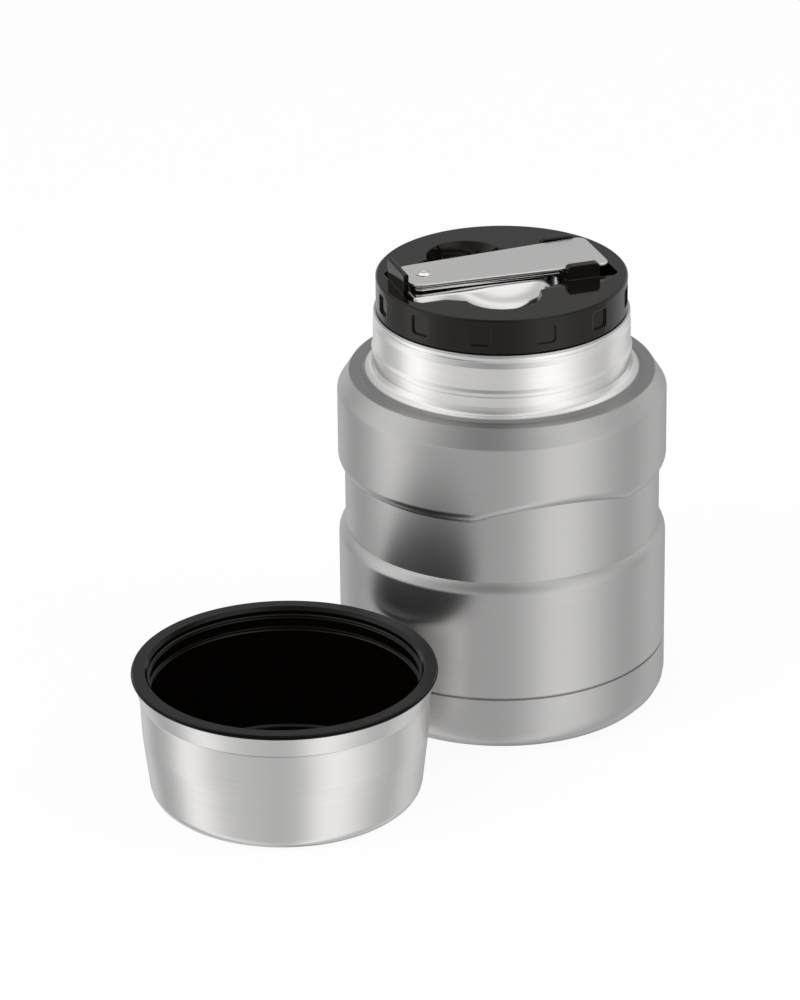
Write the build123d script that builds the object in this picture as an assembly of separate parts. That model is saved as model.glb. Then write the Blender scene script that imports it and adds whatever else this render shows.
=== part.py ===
from build123d import *
from math import asin, cos, radians, sin
import os

os.makedirs("parts", exist_ok=True)

# An insulated food jar: a steel vacuum body, a screw stopper that stores a folding spoon, and
# the cup that covers it, standing beside the jar.
# The jar stands on z = 0 with its axis on Z. Its front faces -Y and the stored spoon lies along X.
# All sizes are millimetres.

# ---- Vacuum body, outside ----
BODY_R = 47.0            # radius of the two bulges
WAIST_DEPTH = 1.9        # how far the waist lies inside the bulges
SHELL_WALL = 0.6
CAP_H = 17.4             # height of the base cap's wall
SEAM_GAP = 0.5           # open line between the base cap and the shell
LOWER_BULGE_H = 32.0
STEP_H = 3.5             # height of the rounded step from a bulge in to the waist
WAIST_H = 18.6
UPPER_BULGE_H = 19.4
SHOULDER_H = 5.6
SHOULDER_RUN = 3.4       # how far the shoulder leans in over its height
LEDGE_H = 0.5            # rounded ledge between the shoulder and the flare
FLARE_R = 5.6            # hollow curve from the shoulder up to the neck
NECK_R = 36.6
NECK_LINES_H = 2.4       # band with two fine lines under the plain neck
NECK_BAND_H = 6.2
NECK_GROOVE_D = 0.7      # groove under the rolled lip
LIP_H = 3.2              # from the plain neck to the shell's top edge
LINE_D = 0.35            # depth of a fine turned line
ARCH_HALF_ANGLE = 30.0   # the front arch of the upper bulge, to each side of the front
ARCH_RISE = 4.2
ARCH_SECTIONS = 9

# ---- Base ----
CAP_WALL = 0.7
BASE_EDGE_R = 7.5        # round between the base and the wall
KICK_R = 30.0            # raised middle of the base
KICK_H = 1.2
MIDDLE_Z = 3.0           # underside of the plate that closes the vacuum space
MIDDLE_EDGE_R = 5.8
MIDDLE_FLANGE_H = 3.4
PORT_R = 1.2             # evacuation port in that plate
SEAL_R = 2.4
SEAL_H = 0.7
GETTER_R = 4.0
GETTER_H = 1.7
GETTER_X = 18.0

# ---- Inner vessel ----
VACUUM_GAP = 2.0
VESSEL_WALL = 0.5
VESSEL_FLOOR_Z = 7.3
VESSEL_CORNER_R = 8.5
VESSEL_WELD_H = 10.7     # wall height of the welded-in bottom
THROAT_GAP = 1.9         # vacuum space between the neck and the vessel's throat
VESSEL_SHOULDER_H = 11.5
FLANGE_T = 0.6           # flange that closes the two walls at the mouth
FOIL_T = 0.12
FOIL_H = 68.0

# ---- Stopper ----
FIT_GAP = 0.3            # clearance between bodies that move past each other
RUN_GAP = 0.05           # running clearance round the rivet and gasket
SKIRT_H = 10.1
SKIRT_INSET = 0.9        # skirt radius inside the neck radius
DECK_EDGE = 0.5
DECK_T = 2.0
SKIRT_WALL = 3.4
GRIP_COUNT = 12
GRIP_W = 5.9
GRIP_H = 5.6
GRIP_D = 0.7
GRIP_CORNER_R = 1.0
PLUG_GAP = 0.6           # plug inside the mouth
PLUG_L = 19.3
PLUG_WALL = 1.8
PLUG_EDGE_R = 1.6
GASKET_TOP_DROP = 3.3    # gasket below the skirt
GASKET_H = 3.0
GASKET_D = 1.0           # depth of its groove in the plug

# ---- Recess in the stopper for the spoon ----
PAN_DEPTH = 8.1
PAN_WALL = 1.6
PAN_END_GAP = 1.9        # pocket beyond the handle's free end
PAN_NECK_HALF = 13.5
PAN_NECK_CORNER = 3.0
PAN_NECK_L = 1.5         # trough's straight neck, past the rivet
PAN_BELLY_HALF = 16.5    # trough's half width where the scoops join it
PAN_TIP_HALF = 12.2
POCKET_HALF = 13.3       # finger pocket under the handle's free end
POCKET_CORNER = 1.5
SCOOP_SHIFT = 0.45       # finger scoops past the middle of the bowl, towards its tip
SCOOP_Y = 15.3
SCOOP_R = 11.1
SCOOP_FLOOR_R = 8.4

# ---- Clips that hold the spoon ----
HOOK_T = 1.5             # wall at the rivet end
HOOK_W = 13.6
HOOK_RISE = 6.2
HOOK_GAP = 0.9           # between the hook and the spoon's end
CLIP_FROM_EDGE = 20.6    # near clip's start inside the skirt's radius
CLIP_L = 9.7
CLIP_T = 2.2
CLIP_RISE = 4.3
CLIP_CORNER_R = 1.2
FAR_CLIP_SHIFT = 1.2     # far clip nearer to the handle's free end
FAR_CLIP_RISE = 3.5

# ---- Folding spoon ----
RIVET_FROM_EDGE = 12.4   # rivet inside the skirt's radius
HANDLE_END_L = 6.0       # plate beyond the rivet
HANDLE_ROOT_HALF_W = 7.7 # half width at the rivet's end
HANDLE_ROOT_R = 3.5
HANDLE_HALF_W = 10.5     # half width at the free end
HANDLE_FROM_EDGE = 6.9   # handle's free end inside the skirt's radius
HANDLE_CORNER_R = 2.5
HANDLE_T = 0.9
HANDLE_OVER_DECK = 1.9
BACKING_X1 = 15.8
BACKING_INSET = 0.5      # backing plate inside the handle's outline
BACKING_T = 0.7
SPACER_T = 0.5
SPACER_R = 3.6
WASHER_T = 0.5
WASHER_R = 3.2
RIVET_R = 1.6
RIVET_HEAD_R = 2.2
RIVET_HEAD_H = 0.6
RIVET_TUBE_R = 0.6
RIVET_FOOT_R = 2.8
RIVET_FOOT_H = 0.7
BOWL_T = 0.8
BOWL_HALF_W = 17.0
BOWL_FROM_EDGE = 18.3    # bowl's tip inside the skirt's radius
BOWL_DROP = 8.1          # rim below the crown
BOWL_NECK_HALF_W = 11.2
BOWL_NECK_DROP = 2.6
BOWL_SHOULDER_DROP = 0.14
BOWL_SHOULDER = 0.6      # half width of the flat crown, as a share of the section's

# ---- Cup ----
CUP_GAP = 0.7            # between the cup's rim and the jar
CUP_BEARING = 207.7      # direction from the jar's axis to the cup's, degrees from +X
CUP_H = 38.4
CUP_RIM_R = 42.9
CUP_RIM_H = 1.3
CUP_RIM_W = 4.4          # breadth of the rim
CUP_WALL = 0.6
CUP_TAPER = 4.75         # base inside the rim's radius
CUP_BASE_EDGE_R = 2.0
CUP_BELLY = 0.4          # wall at half height inside its radius at the fine line
CUP_LINE_DROP = 7.4      # fine line below the mouth
CUP_FLARE = 2.0          # flare of the wall above the fine line
LINER_WALL = 1.4
LINER_FLOOR_Z = 3.4
LINER_INSET = 2.55       # liner's floor inside the base's radius
LINER_LIP = 1.1          # step from the rim in to the liner's mouth
LINER_SNAP_H = 2.6

# ---- Heights and radii that follow from the sizes above ----
WAIST_R = BODY_R - WAIST_DEPTH
STAND_R = BODY_R - BASE_EDGE_R
LAP_R = BODY_R - CAP_WALL              # shell radius where the base cap laps it
SHELL_Z0 = MIDDLE_Z + MIDDLE_EDGE_R
BULGE_Z0 = CAP_H + SEAM_GAP
BULGE_Z1 = BULGE_Z0 + LOWER_BULGE_H
WAIST_Z0 = BULGE_Z1 + STEP_H
WAIST_Z1 = WAIST_Z0 + WAIST_H
UPPER_Z0 = WAIST_Z1 + STEP_H
UPPER_Z1 = UPPER_Z0 + UPPER_BULGE_H
SHOULDER_Z = UPPER_Z1 + SHOULDER_H
LEDGE_Z = SHOULDER_Z + LEDGE_H
LEDGE_R = BODY_R - SHOULDER_RUN
LINES_R = NECK_R + LINE_D
FLARE_Z = LEDGE_Z + FLARE_R
NECK_Z0 = FLARE_Z + NECK_LINES_H
NECK_Z1 = NECK_Z0 + NECK_BAND_H
LIP_Z = NECK_Z1 + LIP_H
LIP_R = NECK_R - SHELL_WALL / 2
THROAT_R = NECK_R - NECK_GROOVE_D - SHELL_WALL
MOUTH_R = NECK_R - SHELL_WALL - THROAT_GAP - VESSEL_WALL
MOUTH_Z = LIP_Z + FLANGE_T
VESSEL_R = WAIST_R - SHELL_WALL - VACUUM_GAP - VESSEL_WALL
WELD_Z = VESSEL_FLOOR_Z + VESSEL_WELD_H
SKIRT_R = NECK_R - SKIRT_INSET
SKIRT_Z0 = MOUTH_Z + FIT_GAP
DECK_Z = SKIRT_Z0 + SKIRT_H
PAN_Z = DECK_Z - PAN_DEPTH
CAVITY_R = SKIRT_R - SKIRT_WALL
PLUG_R = MOUTH_R - PLUG_GAP
PLUG_Z0 = SKIRT_Z0 - PLUG_L
VESSEL_NECK_Z = PLUG_Z0 + PLUG_EDGE_R
GASKET_Z1 = SKIRT_Z0 - GASKET_TOP_DROP
GASKET_Z0 = GASKET_Z1 - GASKET_H
HANDLE_Z0 = DECK_Z + HANDLE_OVER_DECK
HANDLE_Z1 = HANDLE_Z0 + HANDLE_T
BACKING_Z1 = HANDLE_Z0 - SPACER_T
BACKING_Z0 = BACKING_Z1 - BACKING_T
BOWL_Z = BACKING_Z0 - RUN_GAP - WASHER_T
BOWL_CROWN_Z = BACKING_Z0 - FIT_GAP
RIVET_X = RIVET_FROM_EDGE - SKIRT_R
HANDLE_X1 = SKIRT_R - HANDLE_FROM_EDGE
BOWL_X0 = RIVET_X - HANDLE_END_L
BOWL_X1 = SKIRT_R - BOWL_FROM_EDGE
SCOOP_X = (BOWL_X0 + BOWL_X1) / 2 + SCOOP_SHIFT
HOOK_X1 = BOWL_X0 - HOOK_GAP
HOOK_X0 = HOOK_X1 - HOOK_T
PAN_X0 = HOOK_X0
PAN_X1 = HANDLE_X1 + PAN_END_GAP
PAN_NECK_X1 = RIVET_X + PAN_NECK_L
CLIP_X0 = SKIRT_R - CLIP_FROM_EDGE
CLIP_X1 = CLIP_X0 + CLIP_L
CLIP_Y = HANDLE_HALF_W + FIT_GAP
CUP_LINE_Z = CUP_H - CUP_LINE_DROP
CUP_RIM_Z = CUP_H - CUP_RIM_H
CUP_RIM_INNER_R = CUP_RIM_R - CUP_RIM_W
CUP_LINE_R = CUP_RIM_R - CUP_FLARE
CUP_MID_R = CUP_LINE_R - CUP_BELLY
CUP_BASE_R = CUP_RIM_R - CUP_TAPER
LINER_FLOOR_R = CUP_BASE_R - LINER_INSET
LINER_MOUTH_R = CUP_RIM_INNER_R - LINER_LIP
CUP_DISTANCE = BODY_R + CUP_GAP + CUP_RIM_R
CUP_X = CUP_DISTANCE * cos(radians(CUP_BEARING))
CUP_Y = CUP_DISTANCE * sin(radians(CUP_BEARING))

UP = (0, 1)              # tangent along the wall in an outline of (radius, height)
FROM_BELOW = (Align.CENTER, Align.CENTER, Align.MIN)


def turned(face, sweep=360.0, start=0.0):
    """Turn an outline of (radius, height) about Z."""
    return revolve(Rot(0, 0, start) * (Plane.XZ * face), Axis.Z, sweep)


def tube(outer_r, inner_r, z0, z1):
    """A round bar or ring from z0 to z1."""
    bar = Pos(0, 0, z0) * Cylinder(outer_r, z1 - z0, align=FROM_BELOW)
    if inner_r:
        bar -= Pos(0, 0, z0) * Cylinder(inner_r, z1 - z0, align=FROM_BELOW)
    return bar


def polygon(*points):
    """A straight-sided outline."""
    return make_face(Polyline(*points, close=True))


def one_solid(shape):
    """The single solid of a finished piece."""
    return shape.solids().sort_by(SortBy.VOLUME)[-1]


# ---------------------------------------------------------------- outer shell


def step_curve(bulge, waist):
    """Rounded step from the end of a bulge's wall in to a crease at the waist."""
    run = bulge[0] - waist[0]
    rise = abs(waist[1] - bulge[1])
    radius = (rise**2 + run**2) / (2.0 * run)
    turn = asin(rise / radius) / 2.0
    side = 1.0 if waist[1] > bulge[1] else -1.0
    middle = (bulge[0] - radius * (1.0 - cos(turn)), bulge[1] + side * radius * sin(turn))
    return ThreePointArc(bulge, middle, waist)


def wall_strip(outer_edges, inner_edges):
    """Outline of a sheet wall between its outer and inner lines, each listed upwards."""
    low = Line(inner_edges[0] @ 0, outer_edges[0] @ 0)
    high = Line(outer_edges[-1] @ 1, inner_edges[-1] @ 1)
    return make_face([low, *outer_edges, high, *inner_edges])


def lower_lines(inset):
    """Lap under the base cap, lower bulge and its step, up to the middle of the waist."""
    body = BODY_R - inset
    waist = WAIST_R - inset
    lap = LAP_R - inset
    return [
        Line((lap, SHELL_Z0), (lap, BULGE_Z0 - inset)),
        Line((lap, BULGE_Z0 - inset), (body, BULGE_Z0 - inset + SEAM_GAP / 2)),
        Line((body, BULGE_Z0 - inset + SEAM_GAP / 2), (body, BULGE_Z1)),
        step_curve((body, BULGE_Z1), (waist, WAIST_Z0)),
        Line((waist, WAIST_Z0), (waist, BAND_Z0)),
    ]


def band_lines(inset, lift):
    """Waist, upper step raised by lift, and the start of the upper bulge."""
    body = BODY_R - inset
    waist = WAIST_R - inset
    return [
        Line((waist, BAND_Z0), (waist, WAIST_Z1 + lift)),
        step_curve((body, UPPER_Z0 + lift), (waist, WAIST_Z1 + lift)),
        Line((body, UPPER_Z0 + lift), (body, BAND_Z1)),
    ]


def upper_lines(inset):
    """Upper bulge, leaning shoulder, hollow flare and neck, up to the lip."""
    body = BODY_R - inset
    drop = inset * 0.6
    flare_r = FLARE_R + inset
    flare_x = LINES_R + FLARE_R
    neck = (LINES_R if inset == 0 else NECK_R) - inset
    flare_end = (LINES_R - inset, FLARE_Z)
    return [
        Line((body, BAND_Z1), (body, UPPER_Z1 - drop / 2)),
        Line((body, UPPER_Z1 - drop / 2), (LEDGE_R - inset, SHOULDER_Z - drop)),
        Line((LEDGE_R - inset, SHOULDER_Z - drop), (flare_x, LEDGE_Z - inset)),
        ThreePointArc(
            (flare_x, LEDGE_Z - inset),
            (flare_x - flare_r * sin(radians(45)), FLARE_Z - flare_r * cos(radians(45))),
            flare_end,
        ),
        Line(flare_end, (neck, NECK_Z0 - LINE_D)),
    ]


def neck_face():
    """Section of the neck wall, its groove and the rolled lip."""
    neck = NECK_R
    groove = NECK_R - NECK_GROOVE_D
    bore = THROAT_R
    groove_z0 = NECK_Z1 + NECK_GROOVE_D
    groove_z1 = groove_z0 + NECK_GROOVE_D
    return make_face(
        [
            Polyline(
                (NECK_R - SHELL_WALL, NECK_Z0 - LINE_D),
                (LINES_R, NECK_Z0 - LINE_D),
                (neck, NECK_Z0),
                (neck, NECK_Z1),
                (groove, groove_z0),
                (groove, groove_z1),
            ),
            ThreePointArc((groove, groove_z1), (neck, (groove_z1 + LIP_Z) / 2), (LIP_R, LIP_Z)),
            Polyline(
                (LIP_R, LIP_Z),
                (bore, LIP_Z),
                (bore, groove_z0 - SHELL_WALL),
                (NECK_R - SHELL_WALL, NECK_Z1 - SHELL_WALL),
                (NECK_R - SHELL_WALL, NECK_Z0 - LINE_D),
            ),
        ]
    )


BAND_Z0 = (WAIST_Z0 + WAIST_Z1) / 2
BAND_Z1 = UPPER_Z0 + ARCH_RISE + STEP_H


def arch_band():
    """The front arch: the upper step rises and falls in a shallow arc between two corners."""
    front = -90.0
    sections = []
    for i in range(ARCH_SECTIONS):
        share = 2.0 * i / (ARCH_SECTIONS - 1) - 1.0
        lift = ARCH_RISE * (1.0 - share**2)
        face = wall_strip(band_lines(0.0, lift), band_lines(SHELL_WALL, lift))
        sections.append(Rot(0, 0, front + share * ARCH_HALF_ANGLE) * (Plane.XZ * face))
    plain = wall_strip(band_lines(0.0, 0.0), band_lines(SHELL_WALL, 0.0))
    rest = turned(plain, 360.0 - 2.0 * ARCH_HALF_ANGLE, front + ARCH_HALF_ANGLE)
    return loft(sections) + rest


def outer_shell():
    """Drawn outer wall with its waist, front arch, shoulder and neck."""
    lower = turned(wall_strip(lower_lines(0.0), lower_lines(SHELL_WALL)))
    upper = turned(wall_strip(upper_lines(0.0), upper_lines(SHELL_WALL)))
    shell = lower + arch_band() + upper + turned(neck_face())
    for z in (FLARE_Z + LINE_D, NECK_Z0 - 2.0 * LINE_D):
        shell -= tube(LINES_R + LINE_D, LINES_R - LINE_D / 2, z, z + LINE_D)
    return one_solid(shell)


# ---------------------------------------------------------------- base


def base_cap():
    """Pressed base that laps the shell's lower end, with a raised middle."""
    edge = BASE_EDGE_R * (1.0 - cos(radians(45)))

    def cup(inset, top):
        corner = (STAND_R, inset)
        rise = (BODY_R - inset, BASE_EDGE_R)
        middle = (BODY_R - edge - inset * cos(radians(45)), edge + inset * cos(radians(45)))
        kick = KICK_H + inset
        return make_face(
            [
                Polyline((0, top), (0, kick), (KICK_R, kick), (KICK_R + KICK_H, inset), corner),
                ThreePointArc(corner, middle, rise),
                Polyline(rise, (BODY_R - inset, top), (0, top)),
            ]
        )

    return one_solid(turned(cup(0.0, CAP_H)) - turned(cup(CAP_WALL, CAP_H + CAP_WALL)))


def middle_bottom():
    """Dished plate that closes the vacuum space, with the evacuation port in its centre."""
    outer_r = LAP_R - SHELL_WALL
    top = SHELL_Z0 + MIDDLE_FLANGE_H

    def dish(inset, top_z):
        r = outer_r - inset
        flat = outer_r - MIDDLE_EDGE_R
        radius = MIDDLE_EDGE_R - inset
        low = MIDDLE_Z + inset
        bend = (flat + radius * sin(radians(45)), SHELL_Z0 - radius * cos(radians(45)))
        return make_face(
            [
                Polyline((0, top_z), (0, low), (flat, low)),
                ThreePointArc((flat, low), bend, (r, SHELL_Z0)),
                Polyline((r, SHELL_Z0), (r, top_z), (0, top_z)),
            ]
        )

    plate = turned(dish(0.0, top)) - turned(dish(SHELL_WALL, top + SHELL_WALL))
    return one_solid(plate - tube(PORT_R, 0, MIDDLE_Z - SHELL_WALL, MIDDLE_Z + 2 * SHELL_WALL))


def port_seal():
    """Bead of sealing glass that fills the port."""
    bead = tube(PORT_R, 0, MIDDLE_Z, MIDDLE_Z + SHELL_WALL)
    return one_solid(bead + tube(SEAL_R, 0, MIDDLE_Z - SEAL_H, MIDDLE_Z))


def getter():
    """Pellet that keeps the vacuum, fixed on the plate."""
    z0 = MIDDLE_Z + SHELL_WALL
    pellet = Pos(GETTER_X, 0, 0) * tube(GETTER_R, 0, z0, z0 + GETTER_H)
    return one_solid(fillet(pellet.faces().sort_by(Axis.Z)[-1].edges(), GETTER_H / 3))


# ---------------------------------------------------------------- inner vessel


def inner_bottom():
    """Pressed bottom of the vessel, welded to its wall."""

    def dish(inset, top_z):
        r = VESSEL_R + VESSEL_WALL - inset
        radius = VESSEL_CORNER_R + VESSEL_WALL - inset
        flat = r - radius
        low = VESSEL_FLOOR_Z - VESSEL_WALL + inset
        turn_z = low + radius
        bend = (flat + radius * sin(radians(45)), turn_z - radius * cos(radians(45)))
        return make_face(
            [
                Polyline((0, top_z), (0, low), (flat, low)),
                ThreePointArc((flat, low), bend, (r, turn_z)),
                Polyline((r, turn_z), (r, top_z), (0, top_z)),
            ]
        )

    return one_solid(turned(dish(0.0, WELD_Z)) - turned(dish(VESSEL_WALL, WELD_Z + 1.0)))


def inner_vessel():
    """Food vessel: straight wall, drawn-in shoulder, throat and the flange of the mouth."""
    wall_top = VESSEL_NECK_Z - VESSEL_SHOULDER_H

    def lines(grow):
        body = VESSEL_R + grow
        throat = MOUTH_R + grow
        return [
            Line((body, WELD_Z), (body, wall_top)),
            Spline((body, wall_top), (throat, VESSEL_NECK_Z), tangents=[UP, UP]),
            Line((throat, VESSEL_NECK_Z), (throat, MOUTH_Z)),
        ]

    wall = turned(wall_strip(lines(VESSEL_WALL), lines(0.0)))
    flange = tube(LIP_R, MOUTH_R, LIP_Z, MOUTH_Z)
    outer_edge = flange.edges().filter_by(GeomType.CIRCLE).group_by(SortBy.RADIUS)[-1]
    flange = fillet(outer_edge.sort_by(Axis.Z)[-1], FLANGE_T / 2)
    return one_solid(wall + flange)


def radiation_foil():
    """Reflecting foil wrapped round the vessel inside the vacuum."""
    inside = VESSEL_R + VESSEL_WALL
    return one_solid(tube(inside + FOIL_T, inside, WELD_Z, WELD_Z + FOIL_H))


# ---------------------------------------------------------------- stopper


def pan_trough():
    """Plan of the spoon's trough: neck, belly, tip and the finger pocket."""
    half = [
        (PAN_X0, PAN_NECK_HALF - PAN_NECK_CORNER),
        (PAN_X0 + PAN_NECK_CORNER, PAN_NECK_HALF),
        (PAN_NECK_X1, PAN_NECK_HALF),
        (SCOOP_X - SCOOP_R, PAN_BELLY_HALF),
        (SCOOP_X + SCOOP_R, PAN_BELLY_HALF),
        (CLIP_X0, PAN_TIP_HALF),
        (CLIP_X0, CLIP_Y),
        (CLIP_X1, CLIP_Y),
        (CLIP_X1, POCKET_HALF),
        (PAN_X1 - POCKET_CORNER, POCKET_HALF),
        (PAN_X1, POCKET_HALF - POCKET_CORNER),
    ]
    return polygon(*half, *[(x, -y) for x, y in reversed(half)])


def bowl_plan(grow):
    """Ellipse that clears the spoon's bowl."""
    half_length = (BOWL_X1 - SCOOP_X) + grow
    return Pos(SCOOP_X, 0) * Ellipse(half_length, BOWL_HALF_W + grow)


def spoon_recess():
    """Room for the spoon: the trough, the bowl's place and two scoops for the fingers."""
    room = extrude(Pos(0, 0, PAN_Z) * pan_trough(), PAN_DEPTH)
    room += extrude(Pos(0, 0, PAN_Z) * bowl_plan(2 * FIT_GAP), PAN_DEPTH)
    for side in (-1, 1):
        scoop = Cone(SCOOP_FLOOR_R, SCOOP_R, PAN_DEPTH, align=FROM_BELOW)
        room += Pos(SCOOP_X, side * SCOOP_Y, PAN_Z) * scoop
    return room


def stopper_cavity():
    """Hollow under the deck, round the walls of the recess."""
    depth = SKIRT_H - DECK_T
    room = Pos(0, 0, SKIRT_Z0) * Cylinder(CAVITY_R, depth, align=FROM_BELOW)
    base = Pos(0, 0, SKIRT_Z0)
    trough = offset(pan_trough(), PAN_WALL, kind=Kind.INTERSECTION)
    room -= extrude(base * trough, depth)
    room -= extrude(base * bowl_plan(PAN_WALL + 2 * FIT_GAP), depth)
    for side in (-1, 1):
        wall = Cylinder(SCOOP_R + PAN_WALL, depth, align=FROM_BELOW)
        room -= Pos(SCOOP_X, side * SCOOP_Y, SKIRT_Z0) * wall
    return room


def grip_recesses():
    """Shallow rounded squares round the skirt."""
    floor_r = SKIRT_R - GRIP_D
    middle_z = SKIRT_Z0 + SKIRT_H / 2
    face = Plane(origin=(floor_r, 0, middle_z), x_dir=(0, 1, 0), z_dir=(1, 0, 0))
    tool = extrude(face * RectangleRounded(GRIP_W, GRIP_H, GRIP_CORNER_R), 3 * GRIP_D)
    return [Rot(0, 0, 360.0 * i / GRIP_COUNT) * tool for i in range(GRIP_COUNT)]


def hook_wall():
    """Upright wall behind the spoon's rivet end, standing on the floor of the recess."""
    height = PAN_DEPTH + HOOK_RISE
    wall = Pos(HOOK_X0, 0, PAN_Z) * Box(
        HOOK_T, HOOK_W, height, align=(Align.MIN, Align.CENTER, Align.MIN)
    )
    top_edges = wall.faces().sort_by(Axis.Z)[-1].edges().filter_by(Axis.Y)
    return fillet(top_edges, HOOK_T / 3)


def near_clip():
    """Tall clip along the handle's front edge."""
    height = PAN_DEPTH + CLIP_RISE
    block = Pos(CLIP_X0, -CLIP_Y, PAN_Z) * Box(
        CLIP_L, CLIP_T, height, align=(Align.MIN, Align.MAX, Align.MIN)
    )
    corners = block.faces().sort_by(Axis.Z)[-1].edges().filter_by(Axis.Y)
    return fillet(corners, CLIP_CORNER_R)


def far_clip():
    """Clip along the handle's rear edge, a little lower than the near one."""
    block = Pos(CLIP_X0 + FAR_CLIP_SHIFT, CLIP_Y, PAN_Z) * Box(
        CLIP_L, CLIP_T, PAN_DEPTH + FAR_CLIP_RISE, align=(Align.MIN, Align.MIN, Align.MIN)
    )
    corners = block.faces().sort_by(Axis.Z)[-1].edges().filter_by(Axis.Y)
    return fillet(corners, CLIP_CORNER_R)


def stopper_cap():
    """Moulded top of the stopper: deck, skirt with grips, spoon recess and clips."""
    block = tube(SKIRT_R, 0, SKIRT_Z0, DECK_Z)
    block = chamfer(block.faces().sort_by(Axis.Z)[-1].edges(), DECK_EDGE)
    block -= stopper_cavity()
    block -= spoon_recess()
    for recess in grip_recesses():
        block -= recess
    return one_solid(block + hook_wall() + near_clip() + far_clip())


def stopper_plug():
    """Hollow plug that fills the mouth, with the groove of its gasket."""
    plug = tube(PLUG_R, 0, PLUG_Z0, SKIRT_Z0)
    plug = fillet(plug.faces().sort_by(Axis.Z)[0].edges(), PLUG_EDGE_R)
    plug -= tube(PLUG_R - PLUG_WALL, 0, PLUG_Z0 + PLUG_WALL, SKIRT_Z0)
    plug -= tube(PLUG_R + PLUG_GAP, PLUG_R - GASKET_D, GASKET_Z0, GASKET_Z1)
    return one_solid(plug)


def stopper_foam():
    """Insulating foam that fills the plug."""
    return one_solid(tube(PLUG_R - PLUG_WALL, 0, PLUG_Z0 + PLUG_WALL, SKIRT_Z0))


def stopper_gasket():
    """Silicone ring with two sealing lips in the plug's groove."""
    inner = PLUG_R - GASKET_D + RUN_GAP
    lip = MOUTH_R - FIT_GAP
    waist = lip - GASKET_D / 2
    z0 = GASKET_Z0 + RUN_GAP
    z1 = GASKET_Z1 - RUN_GAP
    height = z1 - z0
    ring = make_face(
        [
            Polyline((waist, z1), (inner, z1), (inner, z0), (waist, z0)),
            ThreePointArc((waist, z0), (lip, z0 + height / 4), (waist, z0 + height / 2)),
            ThreePointArc((waist, z0 + height / 2), (lip, z1 - height / 4), (waist, z1)),
        ]
    )
    return one_solid(turned(ring))


# ---------------------------------------------------------------- spoon


def plate_outline(inset, free_x, free_half_w):
    """Plate from the rivet's end, where it is narrow, to its wider free end, corners rounded."""
    root_r = HANDLE_ROOT_R - inset
    root_x = BOWL_X0 + inset + root_r
    root_y = HANDLE_ROOT_HALF_W - inset - root_r
    free_x -= HANDLE_CORNER_R
    free_y = free_half_w - inset - HANDLE_CORNER_R
    circles = []
    for side in (-1, 1):
        circles.append(CenterArc((root_x, side * root_y), root_r, 0, 360))
        circles.append(CenterArc((free_x, side * free_y), HANDLE_CORNER_R, 0, 360))
    return make_hull(circles)


def rivet_bar(radius, z0, z1, inner_r=0.0):
    """A bar or ring on the rivet's axis."""
    return Pos(RIVET_X, 0, 0) * tube(radius, inner_r, z0, z1)


def spoon_handle():
    """Flat handle plate with eased edges and the rivet hole."""
    outline = plate_outline(0.0, HANDLE_X1, HANDLE_HALF_W)
    plate = extrude(Pos(0, 0, HANDLE_Z0) * outline, HANDLE_T)
    plate = fillet(plate.faces().sort_by(Axis.Z)[-1].edges(), HANDLE_T / 4)
    return one_solid(plate - rivet_bar(RIVET_R + RUN_GAP, HANDLE_Z0, HANDLE_Z1))


def spoon_backing():
    """Thin plate under the handle that snaps over the bowl's neck when the spoon is open."""
    share = (BACKING_X1 - BOWL_X0) / (HANDLE_X1 - BOWL_X0)
    half_w = HANDLE_ROOT_HALF_W + share * (HANDLE_HALF_W - HANDLE_ROOT_HALF_W)
    outline = plate_outline(BACKING_INSET, BACKING_X1, half_w)
    plate = extrude(Pos(0, 0, BACKING_Z0) * outline, BACKING_T)
    return one_solid(plate - rivet_bar(RIVET_R + RUN_GAP, BACKING_Z0, BACKING_Z1))


def spoon_spacer():
    """Ring that holds the backing plate off the handle."""
    return one_solid(rivet_bar(SPACER_R, BACKING_Z1, HANDLE_Z0, RIVET_R + RUN_GAP))


def spoon_washer():
    """Spring washer between the backing plate and the bowl's neck."""
    return one_solid(rivet_bar(WASHER_R, BOWL_Z, BOWL_Z + WASHER_T, RIVET_R))


def spoon_rivet():
    """Semi-tubular rivet that joins the handle to the bowl."""
    head_z = HANDLE_Z1 + RUN_GAP
    foot_z = BOWL_Z - BOWL_T
    head = rivet_bar(RIVET_HEAD_R, head_z, head_z + RIVET_HEAD_H)
    head = fillet(head.faces().sort_by(Axis.Z)[-1].edges(), RIVET_HEAD_H * 0.6)
    body = head + rivet_bar(RIVET_R, foot_z, head_z) + rivet_bar(
        RIVET_FOOT_R, foot_z - RIVET_FOOT_H, foot_z
    )
    return one_solid(body - rivet_bar(RIVET_TUBE_R, HANDLE_Z0, head_z + RIVET_HEAD_H))


def bowl_arch(x, half_w, crown_z, rim_z):
    """Section of the bowl at one place along the spoon, flat over its crown."""
    shoulder_y = half_w * BOWL_SHOULDER
    shoulder_z = crown_z - (crown_z - rim_z) * BOWL_SHOULDER_DROP
    arch = Spline(
        (-half_w, rim_z), (-shoulder_y, shoulder_z), (0, crown_z), (shoulder_y, shoulder_z), (half_w, rim_z)
    )
    return Plane.YZ.offset(x) * make_face([arch, Line(arch @ 1, arch @ 0)])


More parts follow.
